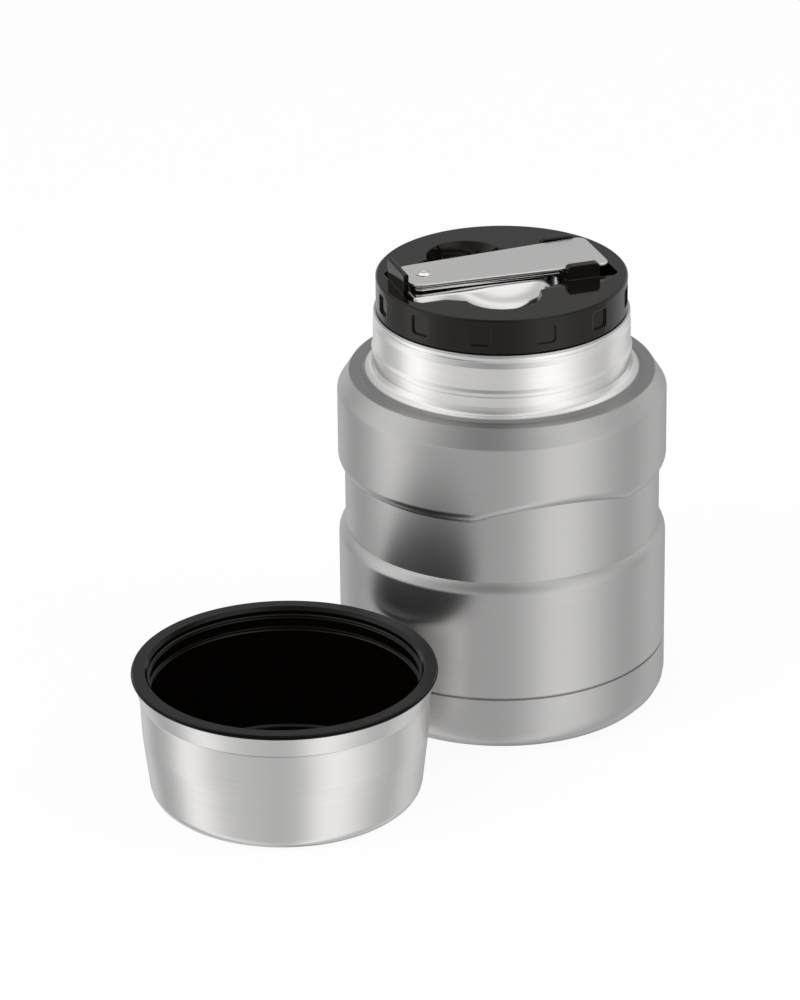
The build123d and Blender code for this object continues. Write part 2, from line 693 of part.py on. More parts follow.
def bowl_form(inset):
    """Domed body of the bowl and neck, drawn in on every side by inset."""
    rim = BOWL_CROWN_Z - BOWL_DROP
    length = BOWL_X1 - SCOOP_X
    neck = SCOOP_X - RIVET_X
    # place along the spoon, half width, height of the crown, height of the rim
    stations = [
        (BOWL_X0, BOWL_NECK_HALF_W * 0.94, BOWL_Z, BOWL_Z - BOWL_NECK_DROP),
        (RIVET_X, BOWL_NECK_HALF_W, BOWL_Z, BOWL_Z - BOWL_NECK_DROP),
        (RIVET_X + neck * 0.337, BOWL_HALF_W * 0.74, BOWL_Z, rim + BOWL_DROP * 0.55),
        (SCOOP_X - neck * 0.334, BOWL_HALF_W * 0.87, BOWL_CROWN_Z, rim + BOWL_DROP * 0.2),
        (SCOOP_X + length * 0.08, BOWL_HALF_W, BOWL_CROWN_Z, rim),
        (SCOOP_X + length * 0.45, BOWL_HALF_W * 0.9, rim + BOWL_DROP * 0.92, rim),
        (SCOOP_X + length * 0.75, BOWL_HALF_W * 0.62, rim + BOWL_DROP * 0.72, rim),
        (BOWL_X1 - inset, BOWL_HALF_W * 0.2, rim + BOWL_DROP * 0.3, rim),
    ]
    sections = []
    for x, half_w, crown_z, rim_z in stations:
        sections.append(bowl_arch(x, half_w - inset, crown_z - inset, rim_z - inset * 1.5))
    return loft(sections)


def spoon_bowl():
    """Pressed bowl with its neck, stored with its back upwards."""
    bowl = bowl_form(0.0) - bowl_form(BOWL_T)
    foot_z = BOWL_Z - BOWL_T
    bowl -= rivet_bar(WASHER_R + FIT_GAP, BOWL_Z, BOWL_Z + BOWL_T)
    bowl -= rivet_bar(RIVET_FOOT_R, foot_z - 2 * RIVET_FOOT_H, foot_z)
    bowl += rivet_bar(RIVET_FOOT_R + BOWL_T, foot_z, BOWL_Z)
    return one_solid(bowl - rivet_bar(RIVET_R, foot_z, BOWL_Z))


# ---------------------------------------------------------------- cup


def cup_line(inset):
    """Outer line of the cup's steel wall from the base to the mouth."""
    base = CUP_BASE_R - inset
    edge = CUP_BASE_EDGE_R
    bend = CUP_BASE_EDGE_R * (1.0 - sin(radians(45)))
    mouth_r = CUP_RIM_R - LINE_D
    mouth = (mouth_r - inset, CUP_RIM_Z)
    low = Polyline((0, inset), (base - edge, inset))
    corner = ThreePointArc(low @ 1, (base - bend, bend + inset * cos(radians(45))), (base, edge + inset))
    middle = (CUP_MID_R - inset, CUP_H / 2)
    line_at = (CUP_LINE_R - inset, CUP_LINE_Z)
    wall = Spline(corner @ 1, middle, line_at)
    return [low, corner, wall, Line(line_at, mouth), Polyline(mouth, (0, CUP_RIM_Z), (0, inset))]


def at_cup(shape):
    """Move a piece from the jar's axis to the cup's place."""
    return one_solid(Pos(CUP_X, CUP_Y, 0) * shape)


def cup_shell():
    """Steel outer wall of the cup, with a fine line under its flared mouth."""
    shell = turned(make_face(cup_line(0.0))) - turned(make_face(cup_line(CUP_WALL)))
    groove = tube(CUP_RIM_R, CUP_LINE_R - LINE_D / 2, CUP_LINE_Z - LINE_D / 2, CUP_LINE_Z + LINE_D / 2)
    return at_cup(shell - groove)


def cup_liner():
    """Black liner with the broad rim that caps the steel wall."""
    snap_r = CUP_LINE_R - CUP_WALL - FIT_GAP
    snap_z = CUP_RIM_Z - LINER_SNAP_H
    floor_low = LINER_FLOOR_Z - LINER_WALL
    corner = LINER_WALL
    section = polygon(
        (0, floor_low),
        (LINER_FLOOR_R - corner, floor_low),
        (LINER_FLOOR_R + LINER_WALL, floor_low + 2 * corner),
        (LINER_MOUTH_R + LINER_WALL, snap_z),
        (snap_r, snap_z),
        (snap_r, CUP_RIM_Z),
        (CUP_RIM_R, CUP_RIM_Z),
        (CUP_RIM_R, CUP_H - CUP_RIM_H / 3),
        (CUP_RIM_R - CUP_RIM_H / 3, CUP_H),
        (CUP_RIM_INNER_R, CUP_H - CUP_RIM_H / 3),
        (LINER_MOUTH_R, CUP_H - 2 * CUP_RIM_H),
        (LINER_FLOOR_R, LINER_FLOOR_Z + corner),
        (LINER_FLOOR_R - corner, LINER_FLOOR_Z),
        (0, LINER_FLOOR_Z),
    )
    return at_cup(turned(section))


PIECES = {
    "outer_shell": outer_shell,
    "base_cap": base_cap,
    "middle_bottom": middle_bottom,
    "port_seal": port_seal,
    "getter": getter,
    "inner_bottom": inner_bottom,
    "inner_vessel": inner_vessel,
    "radiation_foil": radiation_foil,
    "stopper_cap": stopper_cap,
    "stopper_plug": stopper_plug,
    "stopper_foam": stopper_foam,
    "stopper_gasket": stopper_gasket,
    "spoon_handle": spoon_handle,
    "spoon_backing": spoon_backing,
    "spoon_spacer": spoon_spacer,
    "spoon_washer": spoon_washer,
    "spoon_rivet": spoon_rivet,
    "spoon_bowl": spoon_bowl,
    "cup_shell": cup_shell,
    "cup_liner": cup_liner,
}

for name, make in PIECES.items():
    export_step(make(), f"parts/{name}.step")
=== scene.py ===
# %% [markdown]
# # An insulated food jar with a folding spoon
#
# This lesson dresses a finished CAD assembly: a steel vacuum jar, the black screw stopper that
# stores a folding spoon, and the serving cup beside it. The CAD says where everything is and how
# it moves. Blender adds smooth meshes, fine edges, threads and the finishes.
#
# Round pieces are spun from an outline of (radius, height) points, as a metal spinner or a lathe
# makes the real ones. All outlines are in millimetres, and everything else is in metres.

import math

import bmesh
import bpy
from mathutils import Matrix, Vector


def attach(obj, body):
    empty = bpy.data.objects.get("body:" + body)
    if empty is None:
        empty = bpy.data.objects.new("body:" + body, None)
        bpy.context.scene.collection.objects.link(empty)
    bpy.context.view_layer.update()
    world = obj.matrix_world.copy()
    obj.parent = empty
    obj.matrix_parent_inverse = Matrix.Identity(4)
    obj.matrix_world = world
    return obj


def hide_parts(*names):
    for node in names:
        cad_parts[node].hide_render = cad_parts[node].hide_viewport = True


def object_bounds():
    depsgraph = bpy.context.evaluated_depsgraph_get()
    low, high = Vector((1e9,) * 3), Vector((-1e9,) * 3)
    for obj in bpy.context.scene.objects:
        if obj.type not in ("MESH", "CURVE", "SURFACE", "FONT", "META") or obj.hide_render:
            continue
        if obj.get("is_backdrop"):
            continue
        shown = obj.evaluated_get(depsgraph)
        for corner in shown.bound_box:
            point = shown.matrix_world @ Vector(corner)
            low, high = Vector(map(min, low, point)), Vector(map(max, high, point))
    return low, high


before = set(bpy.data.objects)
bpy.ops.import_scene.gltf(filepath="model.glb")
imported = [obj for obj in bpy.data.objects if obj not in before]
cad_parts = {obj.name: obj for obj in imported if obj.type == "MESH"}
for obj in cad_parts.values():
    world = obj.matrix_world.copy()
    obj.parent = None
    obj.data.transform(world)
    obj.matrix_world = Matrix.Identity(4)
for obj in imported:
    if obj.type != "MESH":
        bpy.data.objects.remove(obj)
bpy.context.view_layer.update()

# %% [markdown]
# ## Outlines and turned pieces
#
# A turned piece starts as a wire in the XZ plane. Each corner of the wire may carry a radius, which
# a vertex bevel rounds. A full spin about the upright axis then makes the body. Rounding the wire
# before the spin is far cheaper than bevelling the finished solid, and every round stays exact.

# %% Wires with rounded corners
MM = 0.001
CORNER_STEPS = 5
ARM_SHARE = 0.999         # a round takes at most this share of the shorter arm of its corner


def round_corner(bm, vert, radius):
    """Round one corner of a wire to a radius with a vertex bevel."""
    arms = [edge.other_vert(vert).co - vert.co for edge in vert.link_edges]
    turn = math.pi - arms[0].angle(arms[1])
    reach = min(radius * math.tan(turn / 2), *[ARM_SHARE * arm.length for arm in arms])
    bmesh.ops.bevel(
        bm, geom=[vert], offset=reach, offset_type="OFFSET", segments=CORNER_STEPS,
        profile=0.5, affect="VERTICES", clamp_overlap=False, material=-1,
    )


def draw_wire(bm, points, places, closed=True):
    """Join the places into a wire, and round it where a point's third number is a radius."""
    verts = [bm.verts.new(place) for place in places]
    for first, second in zip(verts, verts[1:]):
        bm.edges.new((first, second))
    if closed:
        bm.edges.new((verts[-1], verts[0]))
    for vert, point in zip(verts, points):
        if len(point) > 2:
            round_corner(bm, vert, point[2] * MM)


# %% A full spin
TURN_STEPS = 240          # a multiple of 12, so that a vertex lies on each corner of the front arch
WELD = 1e-7               # vertices nearer than this are one, in metres
NO_LENGTH = 1e-8          # an edge shorter than this is dissolved, in metres


def turned(points, steps=TURN_STEPS, centre=(0.0, 0.0)):
    """Spin an outline into a body, close its seam and poles, and move it to its axis.

    An outline that starts on the axis also ends there, and its two ends aren't joined.
    """
    bm = bmesh.new()
    ends_on_axis = points[0][0] == 0
    places = [(point[0] * MM, 0.0, point[1] * MM) for point in points]
    draw_wire(bm, points, places, closed=not ends_on_axis)
    bmesh.ops.spin(
        bm, geom=bm.verts[:] + bm.edges[:], cent=(0, 0, 0), axis=(0, 0, 1),
        angle=2 * math.pi, steps=steps, use_merge=True, use_duplicate=False,
    )
    bmesh.ops.remove_doubles(bm, verts=bm.verts[:], dist=WELD)
    bmesh.ops.dissolve_degenerate(bm, edges=bm.edges[:], dist=NO_LENGTH)
    bmesh.ops.recalc_face_normals(bm, faces=bm.faces[:])
    bmesh.ops.translate(bm, verts=bm.verts[:], vec=(centre[0] * MM, centre[1] * MM, 0))
    return bm


# %% [markdown]
# ## Finished pieces
#
# Every finished piece is smooth-shaded with sharp edges kept. The normals of most are weighted by
# face area, so that a long flat wall beside a small round stays flat in a reflection. Each piece
# rides on the CAD body that carries it, and most replace the CAD node that they stand for.

# %% Finish a piece
SHARP_ANGLE = math.radians(32)


def as_object(bm, name):
    """Turn a bmesh into an object of the scene."""
    mesh = bpy.data.meshes.new(name)
    bm.to_mesh(mesh)
    bm.free()
    made = bpy.data.objects.new(name, mesh)
    bpy.context.scene.collection.objects.link(made)
    return made


def dress_piece(piece, material, body, replaces=(), keep_flats=True):
    """Shade and paint a piece, and attach it to a CAD body."""
    mesh = piece.data
    mesh.materials.append(material)
    mesh.shade_smooth()
    mesh.set_sharp_from_angle(angle=SHARP_ANGLE)
    if keep_flats:
        weighting = piece.modifiers.new("flat faces stay flat", "WEIGHTED_NORMAL")
        weighting.keep_sharp = True
    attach(piece, body)
    if replaces:
        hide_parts(*replaces)
    print(f"{piece.name}: {len(mesh.polygons)} faces on {body}")


def finish_piece(name, bm, material, body, replaces=()):
    """Turn a bmesh into a named, dressed piece."""
    dress_piece(as_object(bm, name), material, body, replaces)


# %% [markdown]
# ## Shared effects
#
# Steel that is finished on a spindle carries fine lines round its axis. Handling leaves faint
# patches that are slightly duller. Moulded plastic has a fine spark-eroded grain. Painted textures
# could show all of this, but noise needs no files and stays fine from near by. Each effect is a
# node group with named inputs, built once and used by every material that needs it.

# %% Node helpers
def add_node(tree, kind, **settings):
    """Add a node and set its plain properties."""
    made = tree.nodes.new(kind)
    for key, value in settings.items():
        setattr(made, key, value)
    return made


def feed(tree, socket, value):
    """Link an output to a socket, or give the socket a value of its own."""
    if isinstance(value, bpy.types.NodeSocket):
        tree.links.new(value, socket)
    else:
        socket.default_value = value


def calculate(tree, operation, *values):
    """A Math node fed by outputs or numbers."""
    made = add_node(tree, "ShaderNodeMath", operation=operation)
    for socket, value in zip(made.inputs, values):
        feed(tree, socket, value)
    return made.outputs[0]


def noise_at(tree, place, **values):
    """The value of a 3-D noise texture at a place."""
    noise = add_node(tree, "ShaderNodeTexNoise", noise_dimensions="3D")
    feed(tree, noise.inputs["Vector"], place)
    for label, value in values.items():
        feed(tree, noise.inputs[label], value)
    return noise.outputs["Fac"]


# %% Group helpers
NOISE_MIDDLE = 0.5
MM_PER_METRE = 1000


def new_group(name, inputs, outputs):
    """A shader node group. Its inputs are given as (name, kind, default)."""
    group = bpy.data.node_groups.new(name, "ShaderNodeTree")
    for label, kind, default in inputs:
        socket = group.interface.new_socket(name=label, in_out="INPUT", socket_type=kind)
        socket.default_value = default
    for label in outputs:
        group.interface.new_socket(name=label, in_out="OUTPUT", socket_type="NodeSocketFloat")
    print("node group:", name)
    return group, add_node(group, "NodeGroupInput").outputs, add_node(group, "NodeGroupOutput").inputs


def about_one(group, noise, amount):
    """A tone that swings about 1 by an amount, as the noise goes from 0 to 1."""
    centred = calculate(group, "SUBTRACT", noise, NOISE_MIDDLE)
    scaled = calculate(group, "MULTIPLY", centred, amount)
    return calculate(group, "ADD", calculate(group, "MULTIPLY", scaled, 2), 1)


# %% Turned grain: fine lines round an upright axis
CHANGE_ALONG_A_LINE = 2.2         # small beside the lines per metre, so that the lines run long


def build_turned_grain():
    """Lines round the axis. Tone varies about 1, Height feeds a Bump node."""
    group, given, result = new_group(
        "turned_grain",
        [
            ("Position", "NodeSocketVector", (0, 0, 0)),
            ("Axis", "NodeSocketVector", (0, 0, 0)),
            ("Lines per mm", "NodeSocketFloat", 3.0),
            ("Amount", "NodeSocketFloat", 0.05),
        ],
        ["Tone", "Height"],
    )
    from_axis = add_node(group, "ShaderNodeVectorMath", operation="SUBTRACT")
    feed(group, from_axis.inputs[0], given["Position"])
    feed(group, from_axis.inputs[1], given["Axis"])
    parts = add_node(group, "ShaderNodeSeparateXYZ")
    feed(group, parts.inputs[0], from_axis.outputs[0])
    x, y, z = parts.outputs
    x_squared = calculate(group, "POWER", x, 2)
    y_squared = calculate(group, "POWER", y, 2)
    radius = calculate(group, "SQRT", calculate(group, "ADD", x_squared, y_squared))
    round_axis = calculate(group, "SINE", calculate(group, "ARCTAN2", y, x))
    density = calculate(group, "MULTIPLY", given["Lines per mm"], MM_PER_METRE)
    place = add_node(group, "ShaderNodeCombineXYZ")
    feed(group, place.inputs[0], calculate(group, "MULTIPLY", radius, density))
    feed(group, place.inputs[1], calculate(group, "MULTIPLY", round_axis, CHANGE_ALONG_A_LINE))
    feed(group, place.inputs[2], calculate(group, "MULTIPLY", z, density))
    noise = noise_at(group, place.outputs[0], Scale=1.0, Detail=3.0, Roughness=0.65)
    feed(group, result["Tone"], about_one(group, noise, given["Amount"]))
    feed(group, result["Height"], noise)
    return group


turned_grain = build_turned_grain()

# %% Handling marks: faint duller patches
TONE_SHARE = 0.6                  # how much of a patch's change goes to its tone


def build_handling():
    """Soft patches of slightly higher roughness and darker tone."""
    group, given, result = new_group(
        "handling_marks",
        [
            ("Position", "NodeSocketVector", (0, 0, 0)),
            ("Size", "NodeSocketFloat", 45.0),
            ("Amount", "NodeSocketFloat", 0.04),
        ],
        ["Roughness", "Tone"],
    )
    noise = noise_at(group, given["Position"], Scale=given["Size"], Detail=4.0, Distortion=0.3)
    patches = calculate(group, "SUBTRACT", noise, NOISE_MIDDLE)
    change = calculate(group, "MULTIPLY", patches, given["Amount"])
    darker = calculate(group, "SUBTRACT", 1, calculate(group, "MULTIPLY", change, TONE_SHARE))
    feed(group, result["Roughness"], change)
    feed(group, result["Tone"], darker)
    return group


handling_marks = build_handling()

# %% Moulded grain: the fine texture of a plastic tool
def build_moulded_grain():
    """Fine pebbled grain of moulded plastic, as Tone and Height."""
    group, given, result = new_group(
        "moulded_grain",
        [
            ("Position", "NodeSocketVector", (0, 0, 0)),
            ("Grains per mm", "NodeSocketFloat", 4.0),
            ("Amount", "NodeSocketFloat", 0.1),
        ],
        ["Tone", "Height"],
    )
    density = calculate(group, "MULTIPLY", given["Grains per mm"], MM_PER_METRE)
    noise = noise_at(group, given["Position"], Scale=density, Detail=2.0)
    feed(group, result["Tone"], about_one(group, noise, given["Amount"]))
    feed(group, result["Height"], noise)
    return group


moulded_grain = build_moulded_grain()

# %% [markdown]
# ## Finishes
#
# A finish is a Principled shader whose tone, roughness and bump come from the groups above. The
# steels differ in how bright and how smooth they are: the jar's body is satin, its neck and the
# spoon are brighter and smoother, and the cup is a lighter satin. The plastics are near black. Each
# finish could be wired by hand. Two functions do it here, so that a finish is a single call.

# %% Material helpers
def new_finish(name):
    """A material with its Principled shader and the Object coordinates."""
    material = bpy.data.materials.new(name)
    material.use_nodes = True
    tree = material.node_tree
    shader = tree.nodes["Principled BSDF"]
    place = add_node(tree, "ShaderNodeTexCoord").outputs["Object"]
    print("finish:", name)
    return material, tree, shader, place


def use_group(tree, group, place, **values):
    """Place a shared group in a material. Underscores in a name stand for spaces."""
    made = add_node(tree, "ShaderNodeGroup", node_tree=group)
    feed(tree, made.inputs["Position"], place)
    for key, value in values.items():
        feed(tree, made.inputs[key.replace("_", " ")], value)
    return made.outputs


def toned(tree, colour, *tones):
    """A colour multiplied by tones."""
    for tone in tones:
        mixed = add_node(tree, "ShaderNodeVectorMath", operation="SCALE")
        feed(tree, mixed.inputs[0], colour)
        feed(tree, mixed.inputs["Scale"], tone)
        colour = mixed.outputs[0]
    return colour


def bumped(tree, shader, height, depth_mm, edge_mm=0.0):
    """Feed a height to the shader's normal, over edges that are softened if a radius is given."""
    bump = add_node(tree, "ShaderNodeBump")
    bump.inputs["Distance"].default_value = depth_mm * MM
    feed(tree, bump.inputs["Height"], height)
    if edge_mm:
        soft_edge = add_node(tree, "ShaderNodeBevel", samples=8)
        soft_edge.inputs["Radius"].default_value = edge_mm * MM
        feed(tree, bump.inputs["Normal"], soft_edge.outputs[0])
    feed(tree, shader.inputs["Normal"], bump.outputs[0])


# %% Steel
STEEL_TINT = (1.012, 1.0, 0.992)  # a trace warmer than grey
STEP_HALF = 0.15                  # half the height over which one finish gives way to the next


def above(tree, place, height_mm):
    """0 below a height and 1 above it."""
    parts = add_node(tree, "ShaderNodeSeparateXYZ")
    feed(tree, parts.inputs[0], place)
    step = add_node(tree, "ShaderNodeMapRange")
    feed(tree, step.inputs["Value"], parts.outputs["Z"])
    step.inputs["From Min"].default_value = (height_mm - STEP_HALF) * MM
    step.inputs["From Max"].default_value = (height_mm + STEP_HALF) * MM
    return step.outputs["Result"]


def turned_steel(
    name, tone, roughness, grain=0.05, lines=2.5, axis=(0.0, 0.0, 0.0), depth=0.001, steps=()
):
    """Steel finished on a spindle. Each step is a height, a tone change and a roughness change."""
    material, tree, shader, place = new_finish(name)
    fine_lines = use_group(tree, turned_grain, place, Axis=axis, Lines_per_mm=lines, Amount=grain)
    marks = use_group(tree, handling_marks, place, Size=38.0, Amount=0.05)
    tones = [fine_lines["Tone"], marks["Tone"]]
    rough = calculate(tree, "ADD", marks["Roughness"], roughness)
    level = 1.0
    for height_mm, tone_change, rough_change in steps:
        past = above(tree, place, height_mm)
        level = calculate(tree, "MULTIPLY_ADD", past, tone_change, level)
        rough = calculate(tree, "MULTIPLY_ADD", past, rough_change, rough)
    if steps:
        tones.append(level)
    colour = tuple(tone * share for share in STEEL_TINT)
    feed(tree, shader.inputs["Base Color"], toned(tree, colour, *tones))
    feed(tree, shader.inputs["Roughness"], rough)
    shader.inputs["Metallic"].default_value = 1.0
    bumped(tree, shader, fine_lines["Height"], depth)
    return material


# %% Plastic
def moulded_plastic(name, colour, roughness, grains=4.0, depth=0.002, specular=0.5, edge=0.0):
    """Moulded plastic with a fine grain."""
    material, tree, shader, place = new_finish(name)
    grain = use_group(tree, moulded_grain, place, Grains_per_mm=grains, Amount=0.08)
    marks = use_group(tree, handling_marks, place, Size=60.0, Amount=0.08)
    feed(tree, shader.inputs["Base Color"], toned(tree, colour, grain["Tone"], marks["Tone"]))
    feed(tree, shader.inputs["Roughness"], calculate(tree, "ADD", marks["Roughness"], roughness))
    shader.inputs["Specular IOR Level"].default_value = specular
    bumped(tree, shader, grain["Height"], depth, edge)
    return material


# %% Steel finishes
CUP_AT = (-80.2183, -42.1141)
cup_axis = (CUP_AT[0] * MM, CUP_AT[1] * MM, 0.0)
# the flat ledge is painted half as bright as the wall, as painted shade, and the neck above it is
# polished
SHADED_LEDGE_AND_POLISHED_NECK = [(100.1, -0.5, 0.0), (101.05, 1.15, -0.08)]
# the spoon is ground on a belt: an axis far away makes its lines run nearly straight
FAR_BOWL_AXIS = (-0.3, 0.2, 0)
FAR_HANDLE_AXIS = (0.0, -1.5, 0)
body_steel = turned_steel("body satin steel", 0.575, 0.33, depth=0.0006, steps=SHADED_LEDGE_AND_POLISHED_NECK)
base_steel = turned_steel("base satin steel", 0.56, 0.34)
cup_steel = turned_steel("cup satin steel", 0.78, 0.25, axis=cup_axis)
vessel_steel = turned_steel("vessel steel", 0.62, 0.28, lines=1.5)
drawn_steel = turned_steel("drawn steel", 0.5, 0.4)
spoon_steel = turned_steel(
    "spoon polished steel", 0.86, 0.16, grain=0.02, lines=1.2, axis=FAR_BOWL_AXIS
)
handle_steel = turned_steel(
    "handle satin steel", 0.86, 0.3, grain=0.06, lines=3.0, axis=FAR_HANDLE_AXIS
)

# %% Plastic, rubber and hidden finishes
DECK_BLACK = (0.0045, 0.0032, 0.002)
CUP_BLACK = (0.0022, 0.0015, 0.001)
PLUG_BLACK = (0.012, 0.012, 0.0125)
SILICONE_GREY = (0.32, 0.32, 0.33)
FOAM_CREAM = (0.75, 0.72, 0.62)
GLASS_GREEN = (0.18, 0.26, 0.24)
deck_plastic = moulded_plastic("stopper black plastic", DECK_BLACK, 0.07, specular=0.34, edge=0.35)
plug_plastic = moulded_plastic("plug black plastic", PLUG_BLACK, 0.3)
cup_plastic = moulded_plastic("cup black plastic", CUP_BLACK, 0.16, specular=0.3)
gasket_rubber = moulded_plastic("gasket silicone", SILICONE_GREY, 0.5, grains=2.0, depth=0.01)
foam = moulded_plastic("closed-cell foam", FOAM_CREAM, 0.8, grains=1.2, depth=0.2)
rivet_steel = turned_steel("rivet bright steel", 0.9, 0.07, grain=0.0)
getter_metal = turned_steel("getter pellet", 0.3, 0.6, grain=0.2)
foil_metal = turned_steel("radiation foil", 0.88, 0.22, grain=0.04, lines=0.6)
seal_glass = moulded_plastic("sealing glass", GLASS_GREEN, 0.12, grains=1.0, depth=0.0)

# %% [markdown]
# ## The jar's outer wall
#
# The real wall is a drawn tube: two bulges, a straight waist with a crisp crease at each end, a
# leaning shoulder, a flat ledge, a hollow flare and a turned neck under a rolled lip. One outline
# holds all of it. After the spin the crease above the waist is lifted at the front along a shallow
# arch that ends in two corners. A Boolean cut would leave slivers, which a satin wall shows. Moving
# the rings of the crease keeps the faces even, and the walls beside it are upright, so they stay.

# %% The wall's outline
BODY_R, WAIST_R, LAP_R, WALL = 47.0, 45.1, 46.3, 0.6
SEAM_Z, BULGE_TOP, WAIST_LOW, WAIST_HIGH, BULGE_LOW = 17.9, 49.9, 53.4, 72.0, 75.5
SHOULDER_LOW, LEDGE_Z, LEDGE_R = 94.9, 100.2, 43.6
NECK_R = 36.6


def step_corner(bulge_z, waist_z, inset):
    """The corner whose rounding makes the step from a bulge in to the crease at the waist."""
    run, rise = BODY_R - WAIST_R, abs(waist_z - bulge_z)
    radius = (rise**2 + run**2) / (2 * run)
    reach = radius * math.tan(math.asin(rise / radius) / 2)
    return (BODY_R - inset, bulge_z + math.copysign(reach, waist_z - bulge_z), radius)


def wall_side(inset):
    """The wall's line from its lower edge up to the ledge, inset from the outer face."""
    return [
        (LAP_R - inset, 8.8),
        (LAP_R - inset, SEAM_Z),
        (BODY_R - inset, SEAM_Z + 0.3, 0.25),
        step_corner(BULGE_TOP, WAIST_LOW, inset),
        (WAIST_R - inset, WAIST_LOW, 0.5),
        (WAIST_R - inset, WAIST_HIGH, 0.5),
        step_corner(BULGE_LOW, WAIST_HIGH, inset),
        (BODY_R - inset, SHOULDER_LOW - 0.3 * inset, 1.6),
        (LEDGE_R - 0.4 * inset, LEDGE_Z - inset, 0.35),
    ]


# the hollow flare between the flat ledge and the neck, outside and inside
flare = [(40.1, LEDGE_Z, 1.1), (38.9, 101.1, 0.5), (37.3, 101.9, 1.7), (36.75, 103.6, 0.2)]
inner_flare = [(36.35, LEDGE_Z - WALL, 2.2)]
# a fine groove and a raised ring, the plain band, the rolled lip, and down its inside
neck_side = [
    (NECK_R, 106.3, 0.1), (36.45, 106.6, 0.04), (37.05, 106.8, 0.12), (37.05, 107.8, 0.15),
    (NECK_R, 108.7, 0.1), (NECK_R, 115.1, 0.3), (35.75, 116.8, 0.3),
    (36.5, 117.3, 0.35), (36.5, 118.4, 0.3), (35.3, 118.4), (35.3, 115.3), (36.0, 114.6),
]
wall_outline = wall_side(0.0) + flare + neck_side + inner_flare + wall_side(WALL)[::-1]
print("points in the wall's outline:", len(wall_outline))

# %% Spin the wall and raise the front arch
ARCH_HALF_ANGLE, ARCH_RISE = 30.0, 4.3
BELOW_CREASE, ABOVE_CREASE = 2.0, 1.5       # the crease's own rings lie within these, in mm


def raise_arch(bm):
    """Lift the rings of the upper crease along the front arch."""
    moved = 0
    for vert in bm.verts:
        from_front = math.degrees(math.atan2(vert.co.x, -vert.co.y))
        near_crease = WAIST_HIGH - BELOW_CREASE < vert.co.z / MM < BULGE_LOW + ABOVE_CREASE
        if near_crease and abs(from_front) < ARCH_HALF_ANGLE:
            vert.co.z += ARCH_RISE * MM * (1 - (from_front / ARCH_HALF_ANGLE) ** 2)
            moved += 1
    print("arch vertices moved:", moved)


outer = turned(wall_outline)
raise_arch(outer)
finish_piece("outer_wall", outer, body_steel, "jar", ["outer_shell"])

# %% [markdown]
# ## The base cap
#
# A pressed cup laps the wall's lower end. It could be drawn in the wall's outline, but as a piece
# of its own it leaves a real gap, and that shows as the dark hairline where the two meet. The
# middle of the base is raised, so that the jar stands on a ring.

# %% Base cap
base = turned([
    (0, 1.2), (30.0, 1.2, 1.0), (31.2, 0, 1.0), (BODY_R, 0, 7.5), (BODY_R, 17.4, 0.25),
    (46.35, 17.4, 0.1), (46.35, 0.7, 6.8), (31.6, 0.7, 1.0), (30.0, 1.9, 1.0), (0, 1.9),
])
finish_piece("base_cup", base, base_steel, "jar", ["base_cap"])

# %% [markdown]
# ## The inner vessel
#
# The food sits in a second, thinner vessel, joined to the outer wall only at the mouth. A Solidify
# modifier could thicken a single face of it. The outline runs along both faces here, because the lip
# has a shape of its own, which is seen when the stopper is lifted.

# %% Vessel and its welded bottom
vessel = turned([
    (42.0, 18.0), (42.0, 93.0, 9.0), (33.6, 99.5, 7.0), (33.6, 119.0, 0.5), (36.3, 119.0, 0.25),
    (36.3, 118.4, 0.1), (34.1, 118.4), (34.1, 99.7, 7.0), (42.5, 93.2, 9.0), (42.5, 18.0),
])
finish_piece("food_vessel", vessel, vessel_steel, "jar", ["inner_vessel"])
bottom = turned([
    (0, 6.8), (42.5, 6.8, 9.0), (42.5, 18.0), (42.0, 18.0), (42.0, 7.3, 8.5), (0, 7.3),
])
finish_piece("vessel_bottom", bottom, vessel_steel, "jar", ["inner_bottom"])

# %% [markdown]
# ## The plug and the threads
#
# Under the stopper's top hangs a hollow plug. Three low ridges wind round it, and three more wind
# inside the vessel's throat, half a pitch above them. Together they are the screw. A Screw modifier
# could wind them. A spin that climbs makes a plain mesh of a small four-sided section instead, and
# the root of each ridge lies inside the wall, so that no gap shows when the stopper is out.

# %% Plug
PLUG_R = 33.0
plug = turned([
    (0, 100.0), (PLUG_R, 100.0, 1.6), (PLUG_R, 113.0, 0.15), (32.0, 113.0, 0.15),
    (32.0, 116.0, 0.15), (PLUG_R, 116.0, 0.15), (PLUG_R, 119.3), (31.2, 119.3),
    (31.2, 101.8), (0, 101.8),
])
finish_piece("plug", plug, plug_plastic, "stopper", ["stopper_plug"])

# %% Ridges of a three-start thread
STARTS = 3
CLIMB = 12.0              # what a ridge climbs in a whole turn, in mm
RIDGE_ROOT = 0.3          # how far a ridge's root lies inside the wall, in mm
RIDGE_STEPS = 60


def thread_ridge(start, radius, turns, start_z, depth, thickness):
    """One start of a thread. A negative depth makes it stand inwards."""
    root, tip = radius - math.copysign(RIDGE_ROOT, depth), radius + depth
    section = [
        (root, -thickness / 2), (tip, -thickness / 4), (tip, thickness / 4), (root, thickness / 2),
    ]
    bm = bmesh.new()
    verts = [bm.verts.new((r * MM, 0, (start_z + z) * MM)) for r, z in section]
    bm.faces.new(verts)
    first_angle = Matrix.Rotation(start * 2 * math.pi / STARTS, 3, "Z")
    bmesh.ops.rotate(bm, verts=verts, cent=(0, 0, 0), matrix=first_angle)
    bmesh.ops.spin(
        bm, geom=bm.verts[:] + bm.edges[:] + bm.faces[:], cent=(0, 0, 0), axis=(0, 0, 1),
        angle=turns * 2 * math.pi, steps=RIDGE_STEPS,
        dvec=(0, 0, CLIMB * turns / RIDGE_STEPS * MM), use_merge=False, use_duplicate=False,
    )
    bmesh.ops.remove_doubles(bm, verts=bm.verts[:], dist=WELD)
    bmesh.ops.recalc_face_normals(bm, faces=bm.faces[:])
    return bm


